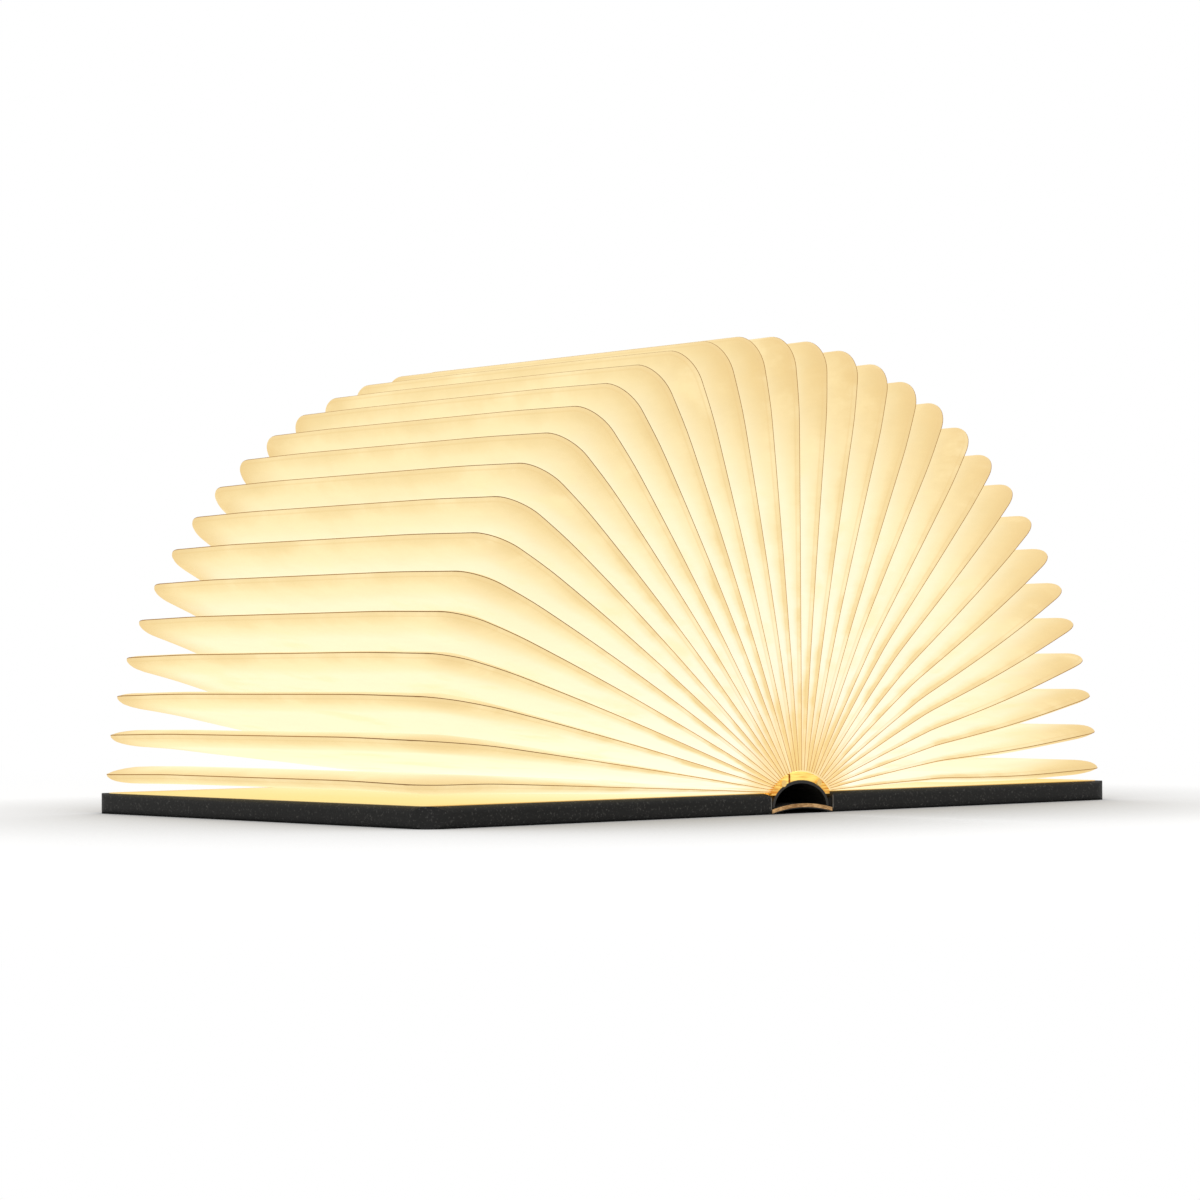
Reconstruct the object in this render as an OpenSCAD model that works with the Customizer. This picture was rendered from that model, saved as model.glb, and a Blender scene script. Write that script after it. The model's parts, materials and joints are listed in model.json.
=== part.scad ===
// Folding book lamp, opened flat.
// The covers lie on the table, the spine runs along Y, and paper pockets fan out of the light bar.
// The origin is under the middle of the spine, on the table, with +Z up.

/* [Covers] */
// Width of one cover, from its spine end to its fore edge
cover_w = 170; // [140:1:210]
// Height of the covers, along the spine
cover_h = 214; // [160:1:270]
// Thickness of a cover
cover_t = 8; // [6:0.2:10]
// Radius of the outer corners of a cover, seen from above
cover_corner_r = 10; // [4:0.5:16]
// Radius along the edges of a cover
cover_edge_r = 2.4; // [1.4:0.1:2.8]
// Thickness of the leatherette wrap
wrap_t = 1; // [0.6:0.1:1.2]
// Thickness of the wrap where it is turned in over the inner face
turn_in_t = 0.6; // [0.4:0.1:1]
// Width of the turned-in border
turn_in_w = 13; // [8:1:20]

/* [Magnets] */
// Diameter of a closing magnet
magnet_d = 10; // [6:0.5:14]
// Thickness of a closing magnet
magnet_t = 3; // [2:0.2:4]
// Distance of a magnet's centre from the fore edge and from the head or tail
magnet_inset = 16; // [12:1:30]

/* [Pages] */
// Number of paper pockets between the covers
page_count = 33; // [17:2:35]
// Thickness of a pocket pressed flat, two sheets
page_t = 0.32; // [0.2:0.02:0.4]
// Thickness of the sealed seam round a pocket
seam_t = 0.22; // [0.14:0.02:0.3]
// Width of the sealed seam
seam_w = 1.2; // [0.8:0.2:5]
// Distance between the turning lines of two pockets, their pitch in the closed book
page_pitch = 0.5; // [0.45:0.01:0.8]
// Radius of the outer corners of a page
page_corner_r = 13; // [8:1:40]
// How far a page stays inside the fore edge of the cover it lies on
page_inset = 0.5; // [0.3:0.1:6]
// How far a page stays inside the covers at head and tail
page_margin = 0.4; // [0.2:0.1:8]
// Angle between the first page and the cover beside it
first_page_angle = 2.73; // [2.5:0.01:5]
// How far the pages halfway up the fan droop towards the covers, in degrees
page_droop = 2; // [0:0.1:4]
// Thickness of the end sheet glued to each cover
end_sheet_t = 0.16; // [0.1:0.02:0.2]
// How far the end sheet stays inside the edges of its cover
end_sheet_inset = 3; // [2.8:0.1:3.9]

/* [Spine] */
// Radius from a cover's turning line to its spine end
spine_r = 8.3; // [7.5:0.1:10]
// Clearance between the light bar and the page roots
root_gap = 0.45; // [0.35:0.05:0.6]
// Outer half width of the inner spine strip
arch_a = 15.4; // [13:0.2:15.6]
// Height of the inner spine strip above its feet
arch_b = 10.4; // [8:0.1:10.6]
// Thickness of the inner spine strip
arch_t = 1.2; // [0.8:0.1:1.6]
// Thickness of the outer spine board
spine_board_t = 1.4; // [1:0.1:2]
// Thickness of the cloth under the outer spine board
spine_cloth_t = 0.4; // [0.3:0.05:0.6]
// Rise of the outer spine strip in its middle
spine_rise = 2; // [1:0.1:2.4]
// Thickness of the end caps of the light bar
cap_t = 1.6; // [1:0.1:3]

/* [Electrics] */
// Number of light diodes in a row
led_count = 12; // [6:1:16]
// Width, length and height of a light diode
led_size = [2.8, 3.5, 0.8];
// Thickness of the flexible diode board
led_board_t = 0.4; // [0.2:0.05:0.5]
// Width of the battery
battery_w = 14.4; // [10:0.1:14.4]
// Length of the battery
battery_len = 92; // [60:1:100]
// Thickness of the battery
battery_t = 3.4; // [2.4:0.1:3.4]
// Width, length and height of the charging socket
port_size = [9, 7.4, 3.2];

/* [Hidden] */
$fn = 48;
fit = 0.05;
joint_gap = 0.3;
inner_lift = 0.2;
half_pages = (page_count - 1) / 2;
pole_span = half_pages * page_pitch;
fold_z = cover_t + inner_lift;
stack_gap = 0.35;
fold_x = pole_span + page_t / 2 + end_sheet_t + stack_gap - inner_lift;
cover_x = fold_x + spine_r;
psi_max = 90 - first_page_angle;
root_r = spine_r + 0.1;
hub_r = root_r - root_gap;
page_w = cover_x + cover_w - page_inset - pole_span - root_r;
page_h = cover_h - 2 * page_margin;
hub_len = cover_h - 2;
bar_len = hub_len - 2 * cap_t;
strip_t = spine_board_t + spine_cloth_t;
strip_half = cover_x - joint_gap;
strip_r = (pow(strip_half, 2) + pow(spine_rise, 2)) / (2 * spine_rise);
arch_z = spine_rise * (1 - pow((arch_a - arch_t) / strip_half, 2)) + strip_t + 0.1;
light_gap = 1.7;
led_row_x = 6.4;
led_half_w = 8.4;
bar_foot_z = fold_z - 1;
slot_x = -6.2;
slot_w = 0.9;
screw_place = 0.6;
screw_r = 0.7;
screw_head_r = 1.3;
screw_head_t = 0.7;
screw_len = 5;
tray_t = 1;
tray_half = battery_w / 2 + 0.3 + tray_t;
tray_top = arch_z + (arch_b - arch_t) * sqrt(1 - pow(tray_half / (arch_a - arch_t), 2)) - 0.1;
tray_floor = spine_rise + strip_t + 0.5;
tray_front = -hub_len / 2 + 28;
battery_y = tray_front + tray_t + 1;
board_t = 1;
board_z = tray_floor + tray_t + 1;
board_y = battery_y + battery_len + 9.6;
board_len = hub_len / 2 - port_size[1] - 1 - board_y;
port_wall = 0.4;
function two_digits(i) = str(i < 10 ? "0" : "", i);
function page_name(i) = str("page_", two_digits(i));
// A page's place across the closed book, from -1 at the left cover to 1 at the right one
function page_place(i) = (i - 1 - half_pages) / half_pages;
// The lean from upright of a page at place u
function lean(u) = psi_max * u + page_droop * sin(180 * u);
// A point of the hub's outline, rho from the turning line of a page at place u
function hub_point(rho, u) = [pole_span * u + rho * sin(lean(u)), fold_z + rho * cos(lean(u))];
// Height of a half ellipse with half axes a and b, at x
function arch_height(a, b, x) = b * sqrt(1 - pow(x / a, 2));

FIXED_NODES = [
    "left_cover_wrap", "left_cover_board", "left_end_sheet", "left_magnets",
    "right_cover_wrap", "right_cover_board", "right_end_sheet", "right_magnets",
    "inner_spine_strip", "outer_spine_board", "outer_spine_cloth",
    "light_bar", "front_cap", "rear_cap", "cap_screws", "diode_board", "diodes",
    "battery_tray", "battery", "control_board", "fold_switch", "charging_socket"
];

// Rectangle from x = 0 to w, centred on y, with its two far corners rounded
module cover_plan(w, h, r) {
    translate([0, -h / 2]) square([w - r, h]);
    translate([0, r - h / 2]) square([w, h - 2 * r]);
    for (s = [-1, 1]) translate([w - r, s * (h / 2 - r)]) circle(r);
}

// Rectangle with four rounded corners, from the origin
module rounded_rect(w, h, r) {
    translate([r, 0]) square([w - 2 * r, h]);
    translate([0, r]) square([w, h - 2 * r]);
    for (x = [r, w - r], y = [r, h - r]) translate([x, y]) circle(r);
}

// A cover's form: its plan cut by the rounded profiles of its length and its width
module cover_form(inset, z_low, z_high, edge_r) {
    w = cover_w - 2 * inset;
    h = cover_h - 2 * inset;
    t = z_high - z_low;
    translate([inset, 0, z_low]) intersection() {
        linear_extrude(t) cover_plan(w, h, cover_corner_r - inset);
        translate([0, h / 2, 0]) rotate([90, 0, 0]) linear_extrude(h) rounded_rect(w, t, edge_r);
        rotate([90, 0, 90]) linear_extrude(w) translate([-h / 2, 0]) rounded_rect(h, t, edge_r);
    }
}

module opening_form(clear) {
    translate([turn_in_w + clear, 0, cover_t - turn_in_t - 1])
        linear_extrude(turn_in_t + 1 + (clear > 0 ? 0 : 1))
            cover_plan(cover_w - 2 * (turn_in_w + clear), cover_h - 2 * (turn_in_w + clear), 4);
}

module at_magnets() {
    for (s = [-1, 1])
        translate([cover_w - magnet_inset, s * (cover_h / 2 - magnet_inset), 0]) children();
}

module cover_wrap() {
    difference() {
        cover_form(0, 0, cover_t, cover_edge_r);
        cover_form(wrap_t, wrap_t, cover_t - turn_in_t, cover_edge_r - wrap_t);
        opening_form(0);
    }
}

module cover_board() {
    difference() {
        union() {
            cover_form(wrap_t + fit, wrap_t, cover_t - turn_in_t, cover_edge_r - wrap_t);
            opening_form(fit);
        }
        at_magnets() translate([0, 0, cover_t - turn_in_t - magnet_t - fit])
            cylinder(h = magnet_t + 1, r = magnet_d / 2 + fit);
    }
}

module cover_magnets() {
    at_magnets() translate([0, 0, cover_t - turn_in_t - magnet_t - fit])
        cylinder(h = magnet_t, r = magnet_d / 2);
}

module end_sheet() {
    inset = end_sheet_inset;
    translate([1.5, 0, cover_t]) linear_extrude(end_sheet_t)
        cover_plan(cover_w - inset - 1.5, cover_h - 2 * inset, cover_corner_r - inset);
}

// The covers are modelled from their spine end outwards and placed on either side
module on_left() {
    translate([-cover_x, 0, 0]) mirror([1, 0, 0]) children();
}

module on_right() {
    translate([cover_x, 0, 0]) children();
}

module left_cover_wrap() { color([0.13, 0.14, 0.14]) on_left() cover_wrap(); }
module left_cover_board() { color([0.62, 0.5, 0.36]) on_left() cover_board(); }
module left_end_sheet() { color([0.99, 0.93, 0.76]) on_left() end_sheet(); }
module left_magnets() { color([0.75, 0.76, 0.78]) on_left() cover_magnets(); }
module right_cover_wrap() { color([0.13, 0.14, 0.14]) on_right() cover_wrap(); }
module right_cover_board() { color([0.62, 0.5, 0.36]) on_right() cover_board(); }
module right_end_sheet() { color([0.99, 0.93, 0.76]) on_right() end_sheet(); }
module right_magnets() { color([0.75, 0.76, 0.78]) on_right() cover_magnets(); }

// Extrudes a profile drawn in x and z along the spine, centred on y
module along_spine(len) {
    rotate([90, 0, 0]) linear_extrude(len, center = true) children();
}

// Upper half of an ellipse that stands on the feet of the inner spine strip
module arch_profile(a, b, half_w) {
    points = [for (i = [0:24]) let (x = half_w * cos(180 * i / 24)) [x, arch_z + arch_height(a, b, x)]];
    polygon(concat(points, [[-half_w, arch_z], [half_w, arch_z]]));
}

// The strip's thickness is the same at its crown and its feet
module inner_spine_strip() {
    color([0.09, 0.09, 0.09]) along_spine(hub_len) difference() {
        arch_profile(arch_a, arch_b, arch_a);
        translate([0, -fit]) arch_profile(arch_a - arch_t, arch_b - arch_t + fit, arch_a - arch_t);
    }
}

// A bent strip between two radii about the centre line of the outer spine
module bent_strip(r_in, r_out) {
    along_spine(cover_h) intersection() {
        translate([0, spine_rise - strip_r]) difference() {
            circle(r_out + strip_t, $fn = 360);
            circle(r_in + strip_t, $fn = 360);
        }
        translate([-strip_half, -1]) square([2 * strip_half, 3 * (spine_rise + strip_t)]);
    }
}

module outer_spine_board() {
    color([0.72, 0.55, 0.35]) bent_strip(strip_r - spine_board_t, strip_r);
}

module outer_spine_cloth() {
    color([0.1, 0.1, 0.1]) bent_strip(strip_r - strip_t, strip_r - spine_board_t);
}

// Outline of the light bar: the line that keeps one gap from all the page roots
module hub_profile(rho) {
    points = [for (i = [-18:18]) hub_point(rho, i / 18)];
    edge = hub_point(rho, 1)[0];
    polygon(concat(points, [[edge, bar_foot_z], [-edge, bar_foot_z]]));
}

module bar_section() {
    difference() {
        hub_profile(hub_r);
        arch_profile(arch_a + fit, arch_b + fit, arch_a + fit);
    }
}

module light_chamber() {
    intersection() {
        arch_profile(arch_a + light_gap, arch_b + light_gap, arch_a);
        translate([-led_half_w - 1, arch_z]) square([2 * led_half_w + 2, 2 * arch_b]);
    }
}

module at_cap_screws(side) {
    for (s = [-1, 1]) {
        p = hub_point(hub_r - 1.9, s * screw_place);
        translate([p[0], side * hub_len / 2, p[1]]) rotate([side * 90, 0, 0]) children();
    }
}

module screw_bores(r) {
    for (side = [-1, 1]) at_cap_screws(side) cylinder(h = screw_len + fit, r = r);
}

module light_bar() {
    color([1, 0.85, 0.45]) difference() {
        along_spine(bar_len) difference() {
            bar_section();
            light_chamber();
        }
        screw_bores(screw_r + fit);
    }
}

module cap_plate(side) {
    difference() {
        translate([0, side * (hub_len - cap_t) / 2, 0]) along_spine(cap_t) bar_section();
        screw_bores(screw_r + fit);
    }
}

module front_cap() {
    slot_z = arch_z + arch_height(arch_a, arch_b, slot_x) + 0.6;
    color([0.95, 0.72, 0.3]) difference() {
        cap_plate(-1);
        translate([slot_x - slot_w / 2, -hub_len / 2 - 1, slot_z]) cube([slot_w, cap_t + 2, 6]);
    }
}

module rear_cap() {
    color([0.95, 0.72, 0.3]) cap_plate(1);
}

module cap_screws() {
    color([0.8, 0.65, 0.35]) for (side = [-1, 1]) at_cap_screws(side) {
        cylinder(h = screw_len, r = screw_r);
        translate([0, 0, -screw_head_t]) cylinder(h = screw_head_t, r = screw_head_r);
    }
}

module diode_board() {
    color([0.92, 0.92, 0.88]) along_spine(bar_len - 2) intersection() {
        difference() {
            arch_profile(arch_a + fit + led_board_t, arch_b + fit + led_board_t, arch_a);
            arch_profile(arch_a + fit, arch_b + fit, arch_a);
        }
        translate([-led_half_w, arch_z + 1]) square([2 * led_half_w, 2 * arch_b]);
    }
}

// Three rows of diodes stand square to the bent board
module diodes() {
    pitch = (bar_len - 24) / (led_count - 1);
    a = arch_a + fit + led_board_t;
    b = arch_b + fit + led_board_t;
    color([1, 0.9, 0.55]) for (row = [-1:1], i = [0:led_count - 1]) {
        x = row * led_row_x;
        z = arch_height(a, b, x);
        translate([x, (i - (led_count - 1) / 2) * pitch, arch_z + z])
            rotate([0, atan2(x * b * b, z * a * a), 0])
                translate([-led_size[0] / 2, -led_size[1] / 2, 0.02]) cube(led_size);
    }
}

module tray_box(inset, z_low, y_low, y_high) {
    translate([inset - tray_half, y_low, z_low])
        cube([2 * (tray_half - inset), y_high - y_low, tray_top - z_low + (inset > 0 ? 1 : 0)]);
}

module battery_tray() {
    color([0.16, 0.16, 0.17]) difference() {
        tray_box(0, tray_floor, tray_front, hub_len / 2);
        tray_box(tray_t, tray_floor + tray_t, tray_front + tray_t, hub_len / 2 - tray_t);
        translate([-port_size[0] / 2 - fit, hub_len / 2 - tray_t - 1, board_z + board_t - fit])
            cube([port_size[0] + 2 * fit, tray_t + 2, tray_top]);
    }
}

module battery() {
    color([0.6, 0.63, 0.68])
        translate([-battery_w / 2, battery_y + battery_len, tray_floor + tray_t]) rotate([90, 0, 0])
            linear_extrude(battery_len) rounded_rect(battery_w, battery_t, 1.2);
}

module control_board() {
    leg_w = 1.5;
    color([0.1, 0.35, 0.2]) {
        translate([-battery_w / 2, board_y, board_z]) cube([battery_w, board_len, board_t]);
        for (x = [-battery_w / 2, battery_w / 2 - leg_w], y = [board_y, board_y + board_len - leg_w])
            translate([x, y, tray_floor + tray_t]) cube([leg_w, leg_w, board_z - tray_floor - tray_t]);
    }
}

module fold_switch() {
    color([0.12, 0.12, 0.12]) translate([-2, board_y + 0.28 * board_len, board_z + board_t]) cube([4, 3, 1.4]);
}

module charging_socket() {
    size = port_size;
    color([0.78, 0.79, 0.8]) translate([-size[0] / 2, hub_len / 2 - size[1], board_z + board_t])
        difference() {
            translate([0, size[1], 0]) rotate([90, 0, 0]) linear_extrude(size[1])
                rounded_rect(size[0], size[2], 1.2);
            translate([port_wall, size[1] + 1, port_wall]) rotate([90, 0, 0]) linear_extrude(size[1] - 0.5)
                rounded_rect(size[0] - 2 * port_wall, size[2] - 2 * port_wall, 0.8);
            }
}

// A pocket pressed flat: two sheets and the thinner sealed seam on its three free edges
module flat_page() {
    linear_extrude(seam_t, center = true) cover_plan(page_w, page_h, page_corner_r);
    linear_extrude(page_t, center = true)
        cover_plan(page_w - seam_w, page_h - 2 * seam_w, page_corner_r - seam_w);
}

module page(i) {
    color([1, 0.94, 0.78]) translate([pole_span * page_place(i), 0, fold_z])
        rotate([0, lean(page_place(i)) - 90, 0]) translate([root_r, 0, 0]) flat_page();
}

left_cover_wrap();
left_cover_board();
left_end_sheet();
left_magnets();
right_cover_wrap();
right_cover_board();
right_end_sheet();
right_magnets();
inner_spine_strip();
outer_spine_board();
outer_spine_cloth();
light_bar();
front_cap();
rear_cap();
cap_screws();
diode_board();
diodes();
battery_tray();
battery();
control_board();
fold_switch();
charging_socket();
for (i = [1:page_count])
    page(i);
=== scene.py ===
"""Studio scene of a folding book lamp that lies open with its paper fanned out."""

from __future__ import annotations

import json
import logging
import math
from dataclasses import dataclass, field
from enum import Enum

import bmesh
import bpy
from mathutils import Matrix, Vector, noise


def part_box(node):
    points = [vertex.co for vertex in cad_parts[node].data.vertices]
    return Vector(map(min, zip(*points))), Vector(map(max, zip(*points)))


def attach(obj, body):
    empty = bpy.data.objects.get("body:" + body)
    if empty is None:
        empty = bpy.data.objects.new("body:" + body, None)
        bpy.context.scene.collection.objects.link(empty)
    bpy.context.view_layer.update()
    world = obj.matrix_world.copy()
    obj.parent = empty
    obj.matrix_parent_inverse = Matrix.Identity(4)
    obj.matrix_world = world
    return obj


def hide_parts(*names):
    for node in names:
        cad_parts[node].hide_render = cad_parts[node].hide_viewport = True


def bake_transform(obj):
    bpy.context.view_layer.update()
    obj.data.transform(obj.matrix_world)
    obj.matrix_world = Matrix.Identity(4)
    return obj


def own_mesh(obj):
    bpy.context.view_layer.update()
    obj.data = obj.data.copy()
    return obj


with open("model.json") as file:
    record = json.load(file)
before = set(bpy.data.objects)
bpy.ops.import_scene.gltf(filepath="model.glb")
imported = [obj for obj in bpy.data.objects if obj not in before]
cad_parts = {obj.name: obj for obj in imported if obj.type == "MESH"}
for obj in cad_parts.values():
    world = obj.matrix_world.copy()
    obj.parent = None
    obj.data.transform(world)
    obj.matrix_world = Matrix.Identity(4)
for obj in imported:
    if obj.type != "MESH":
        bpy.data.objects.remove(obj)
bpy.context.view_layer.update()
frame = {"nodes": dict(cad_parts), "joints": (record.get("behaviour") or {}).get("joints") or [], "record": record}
LOG = logging.getLogger("book_lamp")
MM = 0.001
FRAME_PX = 1200
Colour = tuple[float, float, float]


def tint(red: int, green: int, blue: int) -> Colour:
    """Turns a display colour into a linear one.

    Args:
        red: Red from 0 to 255.
        green: Green from 0 to 255.
        blue: Blue from 0 to 255.

    Returns:
        The three linear values.
    """
    return tuple(
        (c / 255 / 12.92) if c <= 10 else ((c / 255 + 0.055) / 1.055) ** 2.4
        for c in (red, green, blue)
    )


def ease(value: float, low: float, high: float) -> float:
    """Smooth step.

    Args:
        value: Where on the step.
        low: Where the step is 0.
        high: Where the step is 1.

    Returns:
        A number from 0 to 1.
    """
    t = min(max((value - low) / (high - low), 0.0), 1.0)
    return t * t * (3 - 2 * t)


class Field:
    """A shader socket that takes part in Python arithmetic."""

    def __init__(self, ink: Ink, socket: bpy.types.NodeSocket) -> None:
        """Keeps the socket and the tree that it belongs to."""
        self.ink = ink
        self.socket = socket

    def __add__(self, other: Value) -> Field:
        """Sum."""
        return self.ink.math("ADD", self, other)

    def __sub__(self, other: Value) -> Field:
        """Difference."""
        return self.ink.math("SUBTRACT", self, other)

    def __rsub__(self, other: Value) -> Field:
        """Reflected difference."""
        return self.ink.math("SUBTRACT", other, self)

    def __mul__(self, other: Value) -> Field:
        """Product."""
        return self.ink.math("MULTIPLY", self, other)

    def __truediv__(self, other: Value) -> Field:
        """Quotient."""
        return self.ink.math("DIVIDE", self, other)

    def __abs__(self) -> Field:
        """Absolute value."""
        return self.ink.math("ABSOLUTE", self)

    __radd__ = __add__
    __rmul__ = __mul__


Value = Field | float | int


class Ink:
    """Builds the node tree of one material."""

    def __init__(self, name: str) -> None:
        """Starts an empty tree.

        Args:
            name: The material's name.
        """
        self.material = bpy.data.materials.new(name)
        self.material.use_nodes = True
        self.tree = self.material.node_tree
        self.tree.nodes.clear()

    def make(
        self,
        kind: str,
        settings: dict | None = None,
        inputs: dict | None = None,
        out: int | str = 0,
    ) -> Field:
        """Adds one node.

        Args:
            kind: The node's type.
            settings: Values that are set on the node first.
            inputs: Values or fields for its sockets, by name or index.
            out: The output to return.

        Returns:
            The chosen output.
        """
        node = self.tree.nodes.new(kind)
        for key, value in (settings or {}).items():
            setattr(node, key, value)
        for key, value in (inputs or {}).items():
            self.feed(node.inputs[key], value)
        return Field(self, node.outputs[out])

    def feed(self, socket: bpy.types.NodeSocket, value: Value | Colour) -> None:
        """Links a field to a socket, or sets its plain value."""
        if isinstance(value, Field):
            self.tree.links.new(value.socket, socket)
        elif isinstance(value, tuple) and len(value) == 3 and socket.type == "RGBA":
            socket.default_value = (*value, 1)
        else:
            socket.default_value = value

    def math(self, operation: str, *values: Value) -> Field:
        """Adds a Math node on up to three values."""
        return self.make("ShaderNodeMath", {"operation": operation}, dict(enumerate(values)))

    def mix(self, first: Field | Colour, second: Field | Colour, share: Value) -> Field:
        """Mixes two colours.

        Args:
            first: Colour at share 0.
            second: Colour at share 1.
            share: How much of the second one shows.

        Returns:
            The mixed colour.
        """
        settings = {"data_type": "RGBA", "blend_type": "MIX"}
        return self.make("ShaderNodeMix", settings, {0: share, 6: first, 7: second}, out=2)

    def step(self, value: Value, low: float, high: float) -> Field:
        """Smooth step of a field from 0 at low to 1 at high."""
        settings = {"interpolation_type": "SMOOTHSTEP"}
        return self.make("ShaderNodeMapRange", settings, {0: value, 1: low, 2: high, 3: 0.0, 4: 1.0})

    def noise(self, place: Field, scale: float, detail: float = 3.0, rough: float = 0.5) -> Field:
        """Noise between 0 and 1 at a place, with features per metre given by scale."""
        inputs = {"Vector": place, "Scale": scale, "Detail": detail, "Roughness": rough}
        return self.make("ShaderNodeTexNoise", None, inputs)

    def stretched(self, place: Field, by: Colour) -> Field:
        """Scales coordinates by a factor along each axis."""
        return self.make("ShaderNodeVectorMath", {"operation": "MULTIPLY"}, {0: place, 1: by})

    def place(self) -> Field:
        """The object's own coordinates."""
        return self.make("ShaderNodeTexCoord", None, None, "Object")

    def axes(self, place: Field) -> tuple[Field, Field, Field]:
        """Splits coordinates into x, y and z."""
        node = self.make("ShaderNodeSeparateXYZ", None, {0: place}).socket.node
        return tuple(Field(self, out) for out in node.outputs)

    def attribute(self, name: str, out: str) -> Field:
        """Reads a point attribute of the mesh."""
        return self.make("ShaderNodeAttribute", {"attribute_name": name}, None, out)

    def bump(self, height: Field, depth: float, strength: float = 1.0) -> Field:
        """Normal from a height field, with depth in metres."""
        inputs = {"Strength": strength, "Distance": depth, "Height": height}
        return self.make("ShaderNodeBump", None, inputs, "Normal")

    def close(self, **inputs: Value | Colour) -> bpy.types.Material:
        """Adds the surface shader and the output.

        Args:
            **inputs: Socket values, with spaces of their names as underscores.

        Returns:
            The finished material.
        """
        named = {key.replace("_", " "): value for key, value in inputs.items()}
        surface = self.make("ShaderNodeBsdfPrincipled", None, named)
        self.make_output(surface)
        return self.material

    def make_output(self, surface: Field) -> None:
        """Links a shader to the material output."""
        node = self.tree.nodes.new("ShaderNodeOutputMaterial")
        self.tree.links.new(surface.socket, node.inputs["Surface"])


@dataclass(frozen=True)
class LitPaper:
    """Fibrous paper that glows from the light behind it, amber at its sealed edges and golden by the bar."""

    name: str = "lit_paper"
    root: Colour = tint(255, 250, 226)
    field: Colour = tint(254, 243, 205)
    edge: Colour = tint(252, 231, 176)
    rim: Colour = tint(243, 214, 150)
    corner: Colour = tint(230, 194, 124)
    seam: Colour = tint(150, 104, 46)
    root_seam: Colour = tint(198, 136, 62)
    # Painted shade of the seam line at the near corners of left-leaning pages.
    near_seam_shade: Colour = tint(104, 64, 20)
    gold: Colour = tint(246, 206, 124)
    glow: float = 0.94
    seam_width: float = 0.05 * MM
    seal_width: float = 1.1 * MM

    def build(self) -> bpy.types.Material:
        """Returns the material, which reads the attributes sheet, rim and tilt of its mesh."""
        ink = Ink(self.name)
        sheet = ink.attribute("sheet", "Vector")
        rim = ink.attribute("rim", "Fac")
        tilt = ink.attribute("tilt", "Fac")
        reach, along, _ = ink.axes(sheet)
        cloud = ink.noise(sheet, 26, 5, 0.6)
        blot = ink.noise(ink.stretched(sheet, (1.0, 0.45, 1.0)), 70, 4, 0.6)
        fibre = ink.noise(ink.stretched(sheet, (1.0, 0.3, 1.0)), 420, 4, 0.7)
        drift = (cloud - 0.5) * 0.022 + (blot - 0.5) * 0.008
        paper = ink.mix(self.field, self.root, 1.0 - ink.step(reach + drift, 0.02, 0.135))
        inward = (rim + drift * 0.4) / (reach * reach * reach * 4.1 + 0.002)
        paper = ink.mix(self.edge, paper, ink.step(inward, 0.0, 1.0))
        paper = ink.mix(self.rim, paper, ink.step(inward, -0.12, 0.30))
        tip = ink.step(abs(along) + drift, 0.072, 0.110) * ink.step(reach + drift, 0.110, 0.176)
        near_left = ink.step(along * -1.0, 0.030, 0.085) * ink.step(tilt * -1.0, 0.05, 0.5)
        paper = ink.mix(paper, self.corner, tip * (0.9 - near_left * 0.45))
        clear = ink.step((reach - 0.014) / (0.045 - tilt * tilt * 0.036), 0.0, 1.0)
        paper = ink.mix(self.gold, paper, clear * 0.6 + 0.4)
        patch = ink.step(cloud * 0.6 + blot * 0.4, 0.49, 0.66)
        paper = ink.mix(paper, self.edge, patch * 0.6)
        mottle = (cloud - 0.5) * 0.10 + (blot - 0.5) * 0.10 + (fibre - 0.5) * 0.07 + 0.99
        paper = ink.make("ShaderNodeVectorMath", {"operation": "SCALE"}, {0: paper, "Scale": mottle})
        seal = (1.0 - ink.step(abs(rim - self.seal_width), 0.1 * MM, 0.45 * MM)) * 0.28
        paper = ink.mix(paper, self.corner, seal)
        # The dark line at the sealed edges is partly the seam's own duller glow and partly painted shade of the
        # thin gap beside it.
        line = ink.step(rim, self.seam_width * 0.3, self.seam_width)
        seam = ink.mix(self.root_seam, self.seam, ink.step(reach, 0.03, 0.15))
        # Painted shade: the seam line is darker still at the near corners of left-leaning pages.
        seam = ink.mix(seam, self.near_seam_shade, near_left * ink.step(reach, 0.080, 0.145) * 0.9)
        glow = ink.mix(seam, paper, line)
        base = ink.mix((0.10, 0.065, 0.03), (0.13, 0.12, 0.095), line)
        normal = ink.bump(fibre * 0.6 + cloud * 2.0 + blot, 0.3 * MM, 0.5)
        return ink.close(
            Base_Color=base, Roughness=0.72, Emission_Color=glow, Emission_Strength=self.glow, Normal=normal,
            Specular_IOR_Level=0.2,
        )


@dataclass(frozen=True)
class EndPaper:
    """Paper glued inside a cover, with the light of the pockets above it painted on as a glow."""

    name: str = "end_paper"
    glow: float = 0.75

    def build(self) -> bpy.types.Material:
        """Returns the material."""
        ink = Ink(self.name)
        place = ink.place()
        across, along, _ = ink.axes(place)
        cloud = ink.noise(place, 30, 4, 0.6)
        fibre = ink.noise(place, 300, 4, 0.65)
        # Painted glow of the pockets' light: cream in the middle, amber further out and golden at the ends.
        outer = ink.step(abs(across) + (cloud - 0.5) * 0.03, 0.03, 0.17)
        colour = ink.mix(tint(255, 246, 200), tint(250, 220, 140), outer)
        glow = ink.mix(colour, tint(226, 170, 62), ink.step(abs(along), 0.0995, 0.1035))
        normal = ink.bump(fibre, 0.1 * MM, 0.4)
        return ink.close(
            Base_Color=(0.3, 0.25, 0.17), Roughness=0.75, Emission_Color=glow, Emission_Strength=self.glow,
            Normal=normal, Specular_IOR_Level=0.25,
        )


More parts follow.
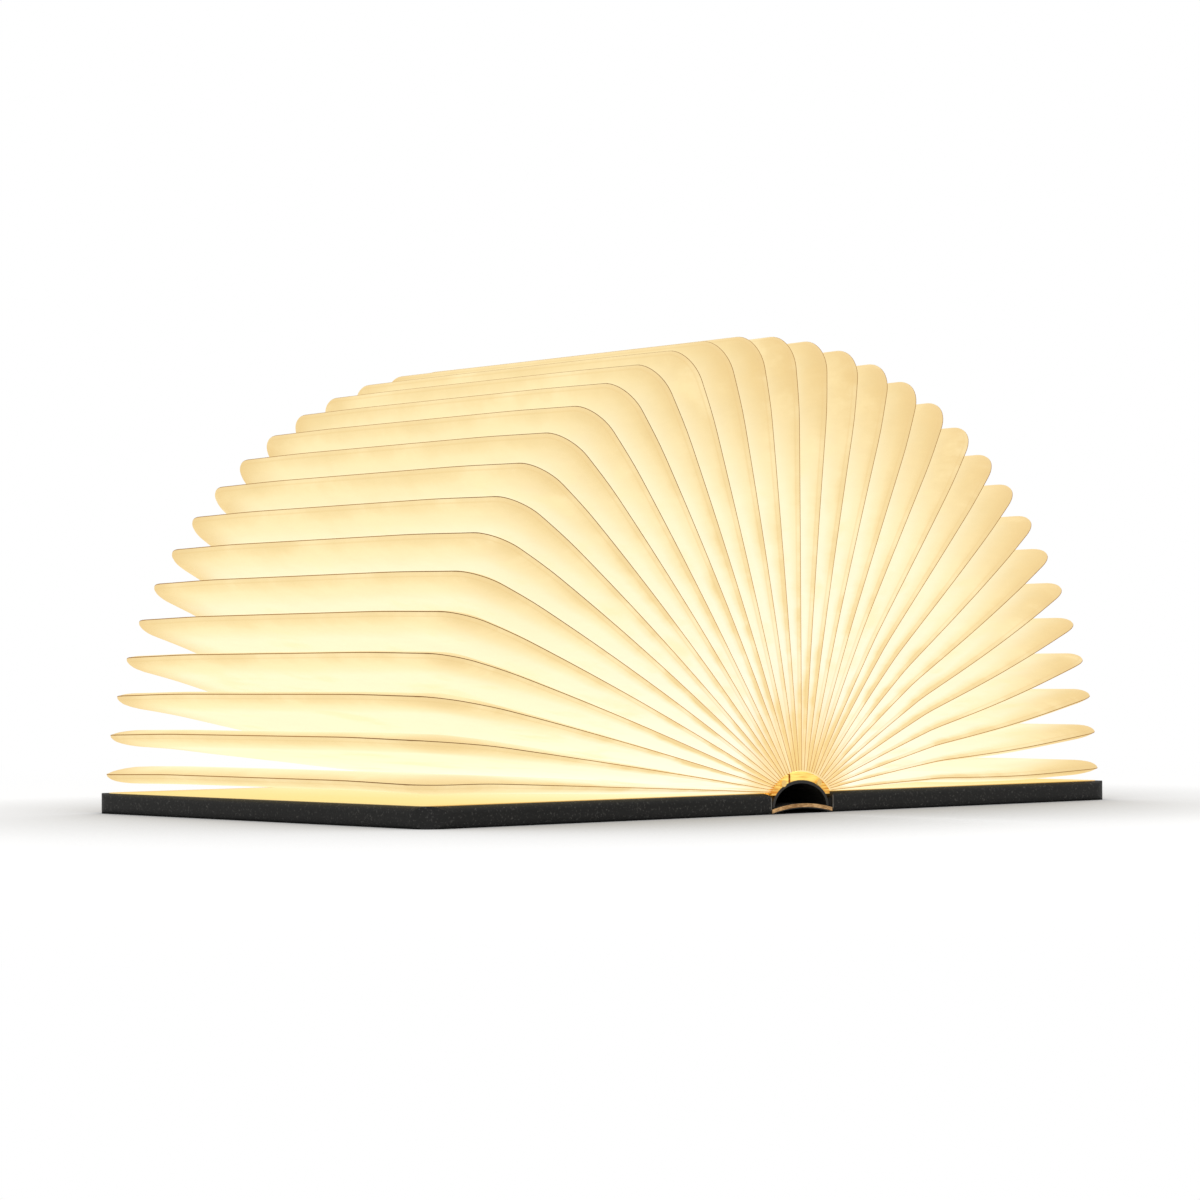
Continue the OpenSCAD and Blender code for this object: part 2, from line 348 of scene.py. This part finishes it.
@dataclass(frozen=True)
class Leatherette:
    """Near-black fine-grained wrap with a pale speckle and paler patches along its edges."""

    name: str
    cover_low: Vector
    cover_high: Vector
    dark: Colour = (0.0036, 0.0037, 0.0034)
    speckle: Colour = (0.085, 0.083, 0.078)
    pale_edge: Colour = (0.36, 0.34, 0.31)

    def build(self) -> bpy.types.Material:
        """Returns the material, paler in patches along the edges of the cover's box."""
        ink = Ink(self.name)
        place = ink.place()
        grain = ink.make(
            "ShaderNodeTexVoronoi", {"feature": "SMOOTH_F1"},
            {"Vector": place, "Scale": 1500.0, "Smoothness": 0.4, "Randomness": 0.9},
        )
        fine = ink.noise(place, 2600, 3, 0.6)
        cloud = ink.noise(place, 45, 4, 0.6)
        speck = ink.step(ink.noise(place, 1100, 3, 0.6), 0.56, 0.70)
        sides = []
        for value, low, high in zip(ink.axes(place), self.cover_low, self.cover_high, strict=True):
            inside = ink.math("MINIMUM", value - low, high - value)
            sides.append(1.0 - ink.step(inside + (cloud - 0.5) * 0.0012, 0.0, 1.1 * MM))
        nearest = sides[0] + sides[1] + sides[2]
        # Paler in patches where two faces of the box meet.
        edge_patches = ink.step(nearest, 1.25, 1.9) * ink.step(cloud, 0.35, 0.7)
        colour = ink.mix(self.dark, (0.0095, 0.0095, 0.009), cloud)
        colour = ink.mix(colour, self.speckle, speck * 0.55)
        colour = ink.mix(colour, self.pale_edge, edge_patches * 0.75)
        height = grain * -0.7 + fine * 0.4
        return ink.close(
            Base_Color=colour, Roughness=0.62 + (fine - 0.5) * 0.2, Normal=ink.bump(height, 0.09 * MM, 0.7),
            Specular_IOR_Level=0.32,
        )


@dataclass(frozen=True)
class BentStrip:
    """Black flexible strip with fine lines along its length."""

    name: str = "bent_strip"

    def build(self) -> bpy.types.Material:
        """Returns the material."""
        ink = Ink(self.name)
        place = ink.place()
        lines = ink.noise(ink.stretched(place, (1.0, 0.04, 1.0)), 900, 3, 0.6)
        cloud = ink.noise(place, 80, 3, 0.5)
        colour = ink.mix((0.010, 0.0095, 0.009), (0.030, 0.027, 0.024), cloud)
        return ink.close(
            Base_Color=colour, Roughness=0.38 + (lines - 0.5) * 0.25, Normal=ink.bump(lines, 0.05 * MM, 0.5),
            Specular_IOR_Level=0.4,
        )


@dataclass(frozen=True)
class CutBoard:
    """Board whose cut ends show tan fibre and whose faces are covered in black."""

    name: str
    end_y: float
    low_edge: Colour = tint(150, 108, 62)
    tan: Colour = tint(222, 180, 126)

    def build(self) -> bpy.types.Material:
        """Returns the material."""
        ink = Ink(self.name)
        place = ink.place()
        _, along, _ = ink.axes(place)
        cut = ink.step(abs(along), self.end_y - 0.3 * MM, self.end_y - 0.1 * MM)
        fibre = ink.noise(ink.stretched(place, (0.5, 1.0, 2.2)), 900, 4, 0.7)
        cloud = ink.noise(place, 120, 3, 0.5)
        tan = ink.mix(self.low_edge, self.tan, ink.step(fibre * 0.6 + cloud * 0.4, 0.36, 0.6))
        face = ink.mix((0.012, 0.011, 0.010), (0.030, 0.026, 0.022), cloud)
        return ink.close(
            Base_Color=ink.mix(face, tan, cut), Roughness=0.66 + (fibre - 0.5) * 0.2,
            Normal=ink.bump(fibre, 0.12 * MM, 0.6), Specular_IOR_Level=0.3,
        )


@dataclass(frozen=True)
class GoldPlastic:
    """Glossy golden plastic with fine drawn lines, lit from behind."""

    name: str
    light: Colour = tint(255, 226, 120)
    deep: Colour = tint(206, 132, 34)
    slot_shade: Colour = tint(140, 76, 14)
    glow: float = 0.45
    metal: float = 0.25
    slot: float = -6.2 * MM
    slot_y: float = 1.0

    def build(self) -> bpy.types.Material:
        """Returns the material, with a painted highlight at the crown of the bar and painted shade towards its
        sides and below.
        """
        ink = Ink(self.name)
        place = ink.place()
        across, along, high = ink.axes(place)
        lines = ink.noise(ink.stretched(place, (0.05, 1.0, 1.0)), 1100, 3, 0.7)
        cloud = ink.noise(place, 160, 2, 0.5)
        # Painted highlight at the crown and painted shade towards the sides and below, over the drawn streaks of
        # the plastic.
        side = ink.step(abs(across) + (cloud - 0.5) * 0.004, 0.003, 0.0165)
        crown = ink.step(high, 0.010, 0.0165)
        shade = ink.math("MAXIMUM", side * 0.75, (1.0 - crown) * 0.5) + (lines - 0.5) * 2.6
        colour = ink.mix(self.light, self.deep, ink.step(shade, 0.0, 0.95))
        # Painted shade inside the slot at the front.
        in_slot = 1.0 - ink.step(abs(across - self.slot), 0.42 * MM, 0.62 * MM)
        at_front = ink.step(along * -1.0, self.slot_y - 0.3 * MM, self.slot_y)
        cut = in_slot * at_front
        colour = ink.mix(colour, self.slot_shade, cut)
        return ink.close(
            Base_Color=colour, Metallic=self.metal, Roughness=0.24 + (lines - 0.5) * 0.15,
            Emission_Color=colour, Emission_Strength=self.glow, Normal=ink.bump(lines, 0.06 * MM, 0.5),
        )


class Grain(Enum):
    """Surface structure of a plain finish: noise scale per metre and depth in metres."""

    DRAWN = (900.0, 0.03 * MM)
    MOULDED = (1400.0, 0.04 * MM)
    WOVEN = (2200.0, 0.12 * MM)
    FOIL = (160.0, 0.15 * MM)


@dataclass(frozen=True)
class Plain:
    """Finish of a small part: two close shades over a fine surface structure."""

    name: str
    first: Colour
    second: Colour
    roughness: float = 0.5
    metal: float = 0.0
    grain: Grain = Grain.MOULDED
    glow: float = 0.0

    def build(self) -> bpy.types.Material:
        """Returns the material."""
        ink = Ink(self.name)
        place = ink.place()
        scale, depth = self.grain.value
        if self.grain is Grain.WOVEN:
            warp = ink.make(
                "ShaderNodeTexWave", {"wave_type": "BANDS", "bands_direction": "X"},
                {"Vector": place, "Scale": scale / 6, "Distortion": 0.6},
            )
            weft = ink.make(
                "ShaderNodeTexWave", {"wave_type": "BANDS", "bands_direction": "Y"},
                {"Vector": place, "Scale": scale / 6, "Distortion": 0.6},
            )
            relief = (warp + weft) * 0.5
        else:
            relief = ink.noise(place, scale, 3, 0.6)
        cloud = ink.noise(place, scale / 9, 3, 0.6)
        colour = ink.mix(self.first, self.second, ink.step(cloud * 0.6 + relief * 0.4, 0.3, 0.7))
        inputs: dict = {
            "Base_Color": colour, "Metallic": self.metal, "Roughness": self.roughness + (relief - 0.5) * 0.15,
            "Normal": ink.bump(relief, depth, 0.5),
        }
        if self.glow:
            inputs |= {"Emission_Color": colour, "Emission_Strength": self.glow}
        return ink.close(**inputs)


@dataclass(frozen=True)
class StudioFloor:
    """White floor that keeps the lamp's shadow and adds a painted contact shade near the lamp from ambient
    occlusion.
    """

    name: str = "studio_floor"
    shade: float = 0.80
    shown: float = 0.28
    lift: float = 0.72
    contact_shade_reach: float = 0.18
    near: float = 0.30
    far: float = 0.75

    def build(self) -> bpy.types.Material:
        """Returns the material, lifted to white for the camera and for reflections."""
        ink = Ink(self.name)
        rays = ink.make("ShaderNodeLightPath").socket.node
        camera, glossy, through = (
            Field(ink, rays.outputs[f"Is {kind} Ray"]) for kind in ("Camera", "Glossy", "Transmission")
        )
        seen = ink.math("MAXIMUM", ink.math("MAXIMUM", camera, glossy), through)
        matt = ink.make("ShaderNodeBsdfDiffuse", None, {"Color": (self.shade, self.shade, self.shade * 1.01)})
        shown = ink.make("ShaderNodeBsdfDiffuse", None, {"Color": (self.shown, self.shown, self.shown)})
        lift = ink.make("ShaderNodeEmission", None, {"Strength": self.lift})
        both = ink.make("ShaderNodeAddShader", None, {0: shown, 1: lift})
        # Painted contact shade: the lift to white fades out where ambient occlusion finds the lamp close by.
        open_sky = ink.make("ShaderNodeAmbientOcclusion", {"samples": 16}, {"Distance": self.contact_shade_reach}, "AO")
        kept = ink.make("ShaderNodeMixShader", None, {0: open_sky * open_sky, 1: shown, 2: both})
        white = ink.make("ShaderNodeEmission", None, {"Strength": 1.0})
        away = ink.make("ShaderNodeVectorMath", {"operation": "LENGTH"}, {0: ink.place()}, "Value")
        faded = ink.step(away, self.near, self.far)
        ground = ink.make("ShaderNodeMixShader", None, {0: faded, 1: kept, 2: white})
        ink.make_output(ink.make("ShaderNodeMixShader", None, {0: seen, 1: matt, 2: ground}))
        return ink.material


def finished(
    name: str, shape: bmesh.types.BMesh, material: bpy.types.Material, smooth: bool = True
) -> bpy.types.Object:
    """Makes an object of a finished mesh, its place in its vertices.

    Args:
        name: The piece's name.
        shape: The mesh, which is freed.
        material: Its finish.
        smooth: Whether its faces are shaded smooth.

    Returns:
        The new object.
    """
    mesh = bpy.data.meshes.new(name)
    shape.to_mesh(mesh)
    shape.free()
    mesh.polygons.foreach_set("use_smooth", [smooth] * len(mesh.polygons))
    mesh.materials.append(material)
    piece = bpy.data.objects.new(name, mesh)
    bpy.context.scene.collection.objects.link(piece)
    return piece


def dress(node: str, material: bpy.types.Material) -> None:
    """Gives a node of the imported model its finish.

    Args:
        node: The node's name.
        material: Its finish.
    """
    mesh = frame["nodes"][node].data
    mesh.materials.clear()
    mesh.materials.append(material)


@dataclass(frozen=True)
class Turn:
    """A page's body, its turning line and its lean from upright."""

    page: str
    body: str
    line: Vector
    lean: float

    def placed(self) -> Matrix:
        """Returns the matrix from the page's own plane to the lamp."""
        out = Vector((math.sin(self.lean), 0, math.cos(self.lean)))
        face = Vector((-math.cos(self.lean), 0, math.sin(self.lean)))
        turn = Matrix((out, Vector((0, 1, 0)), face)).transposed().to_4x4()
        return Matrix.Translation(self.line) @ turn


@dataclass
class Fan:
    """The paper pockets, puffed out between their sealed edges.

    Attributes:
        root: Where the pockets begin, measured from their turning lines.
        corner: Radius of the corners at the fore edge.
        bow: How far a leaning page arches.
        curl: How far the outer corners curl, from curl_from before the fore edge.
        sag: How far the fore edge of a right-hand page hangs.
        belly: How far a right-hand page hangs between belly_from and its fore edge.
        prop: The share of the belly that the cover takes from the lowest pages.
        puff: Half the thickness of a full pocket, reached at a slope of puff_rise.
        pinch: How far from a sealed edge a pocket is full.
        back: Fullness of the sheet that doesn't hang.
        keep: Share of its thickness that a pocket keeps in the closed lamp; not used.
    """

    joint: str = "cover_fold"
    root: float = 8.4 * MM
    corner: float = 13 * MM
    bow: float = 2.7 * MM
    curl: float = 4.0 * MM
    curl_from: float = 34 * MM
    sag: float = 2.6 * MM
    belly: float = 3.6 * MM
    belly_from: float = 0.38
    prop: float = 0.5
    seam: float = 0.22 * MM
    mouth: float = 0.26 * MM
    puff: float = 4.6 * MM
    puff_rise: float = 0.045
    pinch: float = 20 * MM
    pinch_power: float = 2.6
    back: float = 0.75
    sway: float = 0.9 * MM
    wrinkle: float = 0.22 * MM
    keep: float = 0.055
    row_power: float = 1.7
    columns: int = 30
    corner_columns: int = 12
    rows: int = 44
    turns: list[Turn] = field(default_factory=list)

    def __post_init__(self) -> None:
        """Reads each page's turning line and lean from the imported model."""
        behaviour = frame["record"]["behaviour"]
        ratios = {c["joint"]: c["ratio"] for c in behaviour["couplings"]}
        for joint in frame["joints"]:
            if joint["child"].startswith("page_"):
                lean = -math.radians(90) * ratios[joint["name"]]
                self.turns.append(Turn(joint["child"], joint["child"], Vector(joint["pos_m"]), lean))
        middle = (self.turns[0].line + self.turns[-1].line) / 2
        for page in behaviour["bodies"]["spine"]:
            if page.startswith("page_"):
                self.turns.append(Turn(page, "spine", middle, 0.0))
        self.turns.sort(key=lambda turn: turn.page)
        low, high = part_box(self.turns[0].page)
        self.half = (high.y - low.y) / 2
        far = Vector((low.x, 0, high.z)) - self.turns[0].line
        self.reach = far.length - 0.1 * MM
        LOG.info("pages reach %.1f mm and are %.1f mm long", self.reach / MM, 2 * self.half / MM)

    def width_at(self, out: float) -> float:
        """Half the page's length along the spine.

        Args:
            out: Distance from the turning line.

        Returns:
            Half the length there.
        """
        past = out - (self.reach - self.corner)
        if past <= 0:
            return self.half
        return self.half - self.corner + math.sqrt(max(self.corner**2 - past**2, 0.0))

    def rim(self, out: float, along: float) -> float:
        """Distance to the nearest sealed edge.

        Args:
            out: Distance from the turning line.
            along: Place along the spine.

        Returns:
            The distance.
        """
        past = out - (self.reach - self.corner)
        side = abs(along) - (self.half - self.corner)
        if past > 0 and side > 0:
            return self.corner - math.hypot(past, side)
        return min(self.reach - out, self.half - abs(along))

    def height(self, out: float, along: float, side: float, seed: float) -> float:
        """How far a sheet stands from the pocket's middle plane.

        Args:
            out: Distance from the turning line.
            along: Place along the spine.
            side: 1 for the sheet that hangs, -1 for the flatter one behind it.
            seed: Moves the wrinkles.

        Returns:
            The height of the sheet.
        """
        travel = out - self.root
        rim = max(self.rim(out, along), 0.0)
        room = self.puff * (1 - math.exp(-self.puff_rise * travel / self.puff))
        fill = 1 - (1 - min(rim / self.pinch, 1.0)) ** self.pinch_power
        fill = math.sqrt(fill) if side > 0 else self.back * fill
        wide = noise.noise(Vector((out * 24, along * 16, seed)))
        ripple = wide + 0.5 * noise.noise(Vector((out * 62, along * 40, seed + 9)))
        loose = ease(travel, 0.01, 0.08) * ease(rim, 0.0, 0.02)
        return self.seam / 2 + self.mouth * ease(rim, 0, 3 * MM) + room * fill + self.wrinkle * ripple * loose

    def bend(self, out: float, along: float, lean: float) -> float:
        """How far a pocket is bent out of its plane: bowed, hanging, and curled at its outer corners.

        Args:
            out: Distance from the turning line.
            along: Place along the spine.
            lean: The page's lean from upright, positive to the right.

        Returns:
            The height above the plane.
        """
        travel = (out - self.root) / (self.reach - self.root)
        sway = self.sway * noise.noise(Vector((lean * 9.0, along * 5, 4.2)))
        bow = (self.bow * math.sin(2 * lean) + sway) * 4 * travel * (1 - travel)
        outer = ease(out, self.reach - self.curl_from, self.reach + 6 * MM)
        corner = outer * (0.3 + 0.7 * ease(abs(along), 0.05, self.half))
        side = math.sin(lean)
        lift = 0.75 + 0.45 * side if side < 0 else 0.75 - 0.85 * side**2
        past = min(max((travel - self.belly_from) / (1 - self.belly_from), 0.0), 1.0)
        belly = self.belly * math.sin(math.pi * past)
        # The cover props up the lowest pages, so their belly is flatter
        propped = 1 - self.prop * max(side, 0.0) ** 8
        hang = (self.sag * travel**2 + belly * propped) * max(side, 0.0) ** 2
        return bow - hang + self.curl * lift * corner

    def pocket(self, index: int, turn: Turn, material: bpy.types.Material) -> bpy.types.Object:
        """Builds one pocket on its turning line.

        Args:
            index: The page's number.
            turn: Its turning line and lean.
            material: The paper.

        Returns:
            The pocket, which stands for the page's node.
        """
        shape = bmesh.new()
        steps = self.columns + self.corner_columns
        bmesh.ops.create_grid(shape, x_segments=steps, y_segments=self.rows, size=1.0)
        bmesh.ops.solidify(shape, geom=shape.faces[:], thickness=self.seam)
        shape.normal_update()
        straight = self.reach - self.corner - self.root
        share = self.columns / steps
        sheet = shape.verts.layers.float_vector.new("sheet")
        edge = shape.verts.layers.float.new("rim")
        tilt = shape.verts.layers.float.new("tilt")
        middle = sum(v.co.z for v in shape.verts) / len(shape.verts)
        for vert in shape.verts:
            u, v = (vert.co.x + 1) / 2, vert.co.y
            if u <= share:
                out = self.root + straight * u / share
            else:
                quarter = (u - share) / (1 - share) * math.pi / 2
                out = self.reach - self.corner + self.corner * math.sin(quarter)
            spread = math.copysign(1 - (1 - abs(v)) ** self.row_power, v) if v else 0.0
            along = self.width_at(out) * spread
            side = 1.0 if vert.co.z > middle else -1.0
            seed = index * 7.3 + side * 2.1
            lift = self.height(out, along, side, seed)
            vert[sheet] = (out, along, index * 0.37 + side * 0.11)
            vert[edge] = max(self.rim(out, along), 0.0)
            vert[tilt] = math.sin(turn.lean)
            vert.co = Vector((out, along, side * lift + self.bend(out, along, turn.lean)))
        bmesh.ops.remove_doubles(shape, verts=shape.verts[:], dist=0.002 * MM)
        bmesh.ops.recalc_face_normals(shape, faces=shape.faces[:])
        shape.transform(turn.placed())
        piece = finished(f"paper_{turn.page}", shape, material)
        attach(piece, turn.body)
        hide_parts(turn.page)
        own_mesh(piece)
        return piece

    def build(self) -> int:
        """Builds all the pockets and returns how many there are."""
        paper = LitPaper().build()
        for index, turn in enumerate(self.turns, 1):
            self.pocket(index, turn, paper)
        return len(self.turns)


@dataclass
class Cover:
    """One hard cover with its end sheet and the hinge strip along its spine end."""

    side: str
    strip_t: float = 0.18 * MM
    strip_low: float = 0.2 * MM
    strip_high: float = 5.6 * MM
    gap: float = 0.03 * MM

    def hinge_strip(self, material: bpy.types.Material) -> bpy.types.Object:
        """Builds the strip of wrap that runs from the outer spine to the cover's end.

        Args:
            material: The wrap's finish.

        Returns:
            The strip, standing flat by the cover's spine end.
        """
        low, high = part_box(f"{self.side}_cover_wrap")
        sign = 1 if low.x > 0 else -1
        end = low.x if sign > 0 else high.x
        half = (high.y - low.y) / 2
        tall = (self.strip_high - self.strip_low) / 2
        shape = bmesh.new()
        bmesh.ops.create_grid(shape, x_segments=16, y_segments=4, size=1.0)
        bmesh.ops.scale(shape, vec=Vector((tall, half - 1 * MM, 1)), verts=shape.verts[:])
        bmesh.ops.rotate(shape, matrix=Matrix.Rotation(math.radians(90), 3, "Y"), verts=shape.verts[:])
        bmesh.ops.solidify(shape, geom=shape.faces[:], thickness=self.strip_t)
        xs = [v.co.x for v in shape.verts]
        shift = end - sign * (self.gap + self.strip_t / 2) - (min(xs) + max(xs)) / 2
        bmesh.ops.translate(shape, vec=Vector((shift, 0, self.strip_low + tall)), verts=shape.verts[:])
        bmesh.ops.recalc_face_normals(shape, faces=shape.faces[:])
        piece = finished(f"{self.side}_hinge_strip", shape, material)
        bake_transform(piece)
        return piece

    def build(self) -> None:
        """Dresses the cover's nodes and adds its hinge strip."""
        low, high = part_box(f"{self.side}_cover_wrap")
        wrap = Leatherette(f"{self.side}_leatherette", low, high).build()
        dress(f"{self.side}_cover_wrap", wrap)
        board = Plain("grey_board", (0.33, 0.26, 0.18), (0.45, 0.37, 0.27), 0.85)
        dress(f"{self.side}_cover_board", board.build())
        dress(f"{self.side}_end_sheet", EndPaper().build())
        plated = Plain("plated", (0.6, 0.6, 0.62), (0.75, 0.75, 0.77), 0.25, 1.0, Grain.DRAWN)
        dress(f"{self.side}_magnets", plated.build())
        self.hinge_strip(wrap)


@dataclass
class Spine:
    """The bent strips, the light bar and the electrics inside it."""

    finishes: dict = field(default_factory=dict)

    def __post_init__(self) -> None:
        """Names the finish of each node."""
        end_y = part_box("outer_spine_board")[1].y
        slot_y = -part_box("front_cap")[1].y
        self.finishes = {
            "inner_spine_strip": BentStrip(),
            "outer_spine_board": CutBoard("cut_board", end_y),
            "outer_spine_cloth": Plain(
                "black_cloth", (0.012, 0.012, 0.012), (0.03, 0.029, 0.027), 0.8, 0.0, Grain.WOVEN
            ),
            "light_bar": GoldPlastic("gold_bar", glow=1.1, metal=0.0, slot_y=slot_y),
            "front_cap": GoldPlastic("gold_front_cap", glow=0.35, metal=0.35, slot_y=slot_y),
            "rear_cap": GoldPlastic("gold_cap", glow=0.35, metal=0.35),
            # The pins get a painted golden glow that stands for the bar's light on them.
            "cap_screws": Plain(
                "brass_pin_painted_glow", (0.66, 0.40, 0.10), (0.86, 0.60, 0.22), 0.35, 0.5, Grain.DRAWN, glow=0.3
            ),
            "diode_board": Plain("diode_board", (0.80, 0.78, 0.70), (0.88, 0.87, 0.82), 0.45),
            "diodes": Plain("diode", (1.0, 0.80, 0.42), (1.0, 0.9, 0.62), 0.35, glow=1.5),
            "battery_tray": Plain("black_tray", (0.012, 0.012, 0.013), (0.028, 0.028, 0.03), 0.55),
            "battery": Plain("foil_pouch", (0.42, 0.45, 0.5), (0.6, 0.63, 0.68), 0.35, 0.8, Grain.FOIL),
            "control_board": Plain("circuit_board", (0.01, 0.10, 0.035), (0.02, 0.17, 0.06), 0.4),
            "fold_switch": Plain("black_switch", (0.012, 0.012, 0.012), (0.03, 0.03, 0.03), 0.45),
            "charging_socket": Plain(
                "stamped_steel", (0.5, 0.5, 0.52), (0.7, 0.7, 0.72), 0.3, 1.0, Grain.DRAWN
            ),
        }

    def build(self) -> None:
        """Dresses each node of the spine."""
        for node, finish in self.finishes.items():
            dress(node, finish.build())


@dataclass
class Studio:
    """Floor, soft light and the camera of the photograph."""

    place: Vector = Vector((-0.908, -1.010, 0.0536))
    yaw: float = 41.65
    pitch: float = 1.33
    roll: float = -0.3
    focal_px: float = 3285.0
    sensor: float = 36.0
    fill: float = 0.62

    def camera(self) -> None:
        """Makes the camera."""
        data = bpy.data.cameras.new("camera")
        data.sensor_width = self.sensor
        data.lens = self.sensor * self.focal_px / FRAME_PX
        data.clip_end = 60.0
        camera = bpy.data.objects.new("camera", data)
        yaw, pitch = math.radians(self.yaw), math.radians(self.pitch)
        ahead = Vector((math.sin(yaw) * math.cos(pitch), math.cos(yaw) * math.cos(pitch), math.sin(pitch)))
        camera.location = self.place
        turn = ahead.to_track_quat("-Z", "Y").to_matrix().to_4x4()
        camera.rotation_euler = (turn @ Matrix.Rotation(math.radians(self.roll), 4, "Z")).to_euler()
        bpy.context.scene.collection.objects.link(camera)
        bpy.context.scene.camera = camera

    def lamp(self, name: str, place: Vector, aim: Vector, size: float, power: float) -> None:
        """Adds a square soft light.

        Args:
            name: The light's name.
            place: Where it stands.
            aim: The point that it faces.
            size: Its side in metres.
            power: Its power in watts.
        """
        data = bpy.data.lights.new(name, "AREA")
        data.shape = "SQUARE"
        data.size = size
        data.energy = power
        light = bpy.data.objects.new(name, data)
        light.location = place
        light.rotation_euler = (aim - place).to_track_quat("-Z", "Y").to_euler()
        bpy.context.scene.collection.objects.link(light)

    def world(self) -> None:
        """Makes the surroundings: white to the camera and through glass, softer as light and in reflections."""
        world = bpy.data.worlds.new("studio")
        world.use_nodes = True
        bpy.context.scene.world = world
        nodes, links = world.node_tree.nodes, world.node_tree.links
        nodes.clear()
        rays = nodes.new("ShaderNodeLightPath")
        seen = nodes.new("ShaderNodeMath")
        seen.operation = "MAXIMUM"
        links.new(rays.outputs["Is Camera Ray"], seen.inputs[0])
        links.new(rays.outputs["Is Transmission Ray"], seen.inputs[1])
        soft, white = nodes.new("ShaderNodeBackground"), nodes.new("ShaderNodeBackground")
        soft.inputs["Color"].default_value = (1, 0.99, 0.975, 1)
        soft.inputs["Strength"].default_value = self.fill
        white.inputs["Color"].default_value = (1, 1, 1, 1)
        white.inputs["Strength"].default_value = 1.0
        mix, out = nodes.new("ShaderNodeMixShader"), nodes.new("ShaderNodeOutputWorld")
        links.new(seen.outputs[0], mix.inputs[0])
        links.new(soft.outputs[0], mix.inputs[1])
        links.new(white.outputs[0], mix.inputs[2])
        links.new(mix.outputs[0], out.inputs["Surface"])

    def floor(self) -> None:
        """Lays the floor."""
        shape = bmesh.new()
        bmesh.ops.create_grid(shape, x_segments=2, y_segments=2, size=20.0)
        bmesh.ops.translate(shape, vec=Vector((0, 0, -0.05 * MM)), verts=shape.verts[:])
        finished("floor", shape, StudioFloor().build(), smooth=False)

    def build(self) -> None:
        """Makes the camera, the floor and the lights."""
        bpy.context.scene.view_settings.view_transform = "Standard"
        self.camera()
        self.world()
        self.floor()
        middle = Vector((0, 0, 0.08))
        self.lamp("key", Vector((-0.9, -1.1, 1.7)), middle, 1.6, 14)
        self.lamp("top", Vector((0.5, 0.3, 1.9)), middle, 2.0, 12)


def main() -> None:
    """Builds the lamp and its studio."""
    logging.basicConfig(level=logging.INFO, format="%(name)s: %(message)s")
    Studio().build()
    LOG.info("studio ready")
    for side in ("left", "right"):
        Cover(side).build()
        LOG.info("%s cover dressed", side)
    Spine().build()
    LOG.info("spine dressed")
    LOG.info("%d paper pockets made", Fan().build())


if __name__ == "__main__":
    main()
